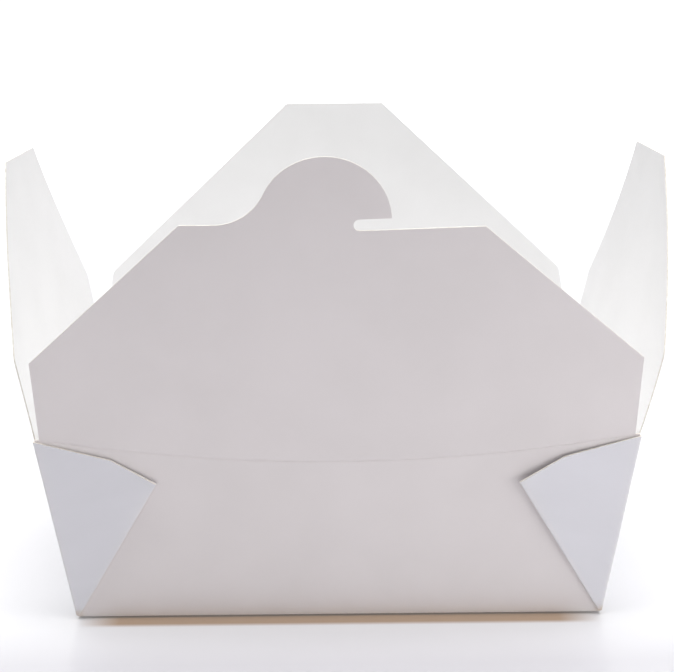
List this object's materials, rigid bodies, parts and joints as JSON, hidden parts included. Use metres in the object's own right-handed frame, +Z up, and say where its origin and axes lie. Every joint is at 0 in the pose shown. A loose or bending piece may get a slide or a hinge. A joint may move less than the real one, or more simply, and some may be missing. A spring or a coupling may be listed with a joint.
{
  "type": "takeout food box",
  "caption": "Folded paperboard takeout box with a flared tray, glued corners and four open lid flaps; a hooked tab on the front flap locks the lid.",
  "frame": {"origin": "middle of the underside of the base", "axes": "+Z up, +X along the length of the box, -Y towards the side with the hooked front flap"},
  "size_m": [0.2142, 0.1717, 0.1527],
  "materials": {
    "board": "white coated paperboard, smooth satin"
  },
  "bodies": {
    "tray": {"tray": "board"},
    "front_flap": {"front_flap": "board"},
    "back_flap": {"back_flap": "board"},
    "left_flap": {"left_flap": "board"},
    "right_flap": {"right_flap": "board"}
  },
  "joints": [
    {"name": "front_crease", "type": "hinge", "parent": "tray", "child": "front_flap", "pos_m": [0, -0.06377, 0.06445], "axis": [-1, 0, 0], "range_deg": [-108.7, 100.1]},
    {"name": "back_crease", "type": "hinge", "parent": "tray", "child": "back_flap", "pos_m": [0, 0.06377, 0.06445], "axis": [1, 0, 0], "range_deg": [-103.5, 106.5]},
    {"name": "left_crease", "type": "hinge", "parent": "tray", "child": "left_flap", "pos_m": [-0.09377, 0, 0.06365], "axis": [0, 1, 0], "range_deg": [-110.9, 99.1]},
    {"name": "right_crease", "type": "hinge", "parent": "tray", "child": "right_flap", "pos_m": [0.09377, 0, 0.06365], "axis": [0, -1, 0], "range_deg": [-110.6, 99.4]}
  ]
}
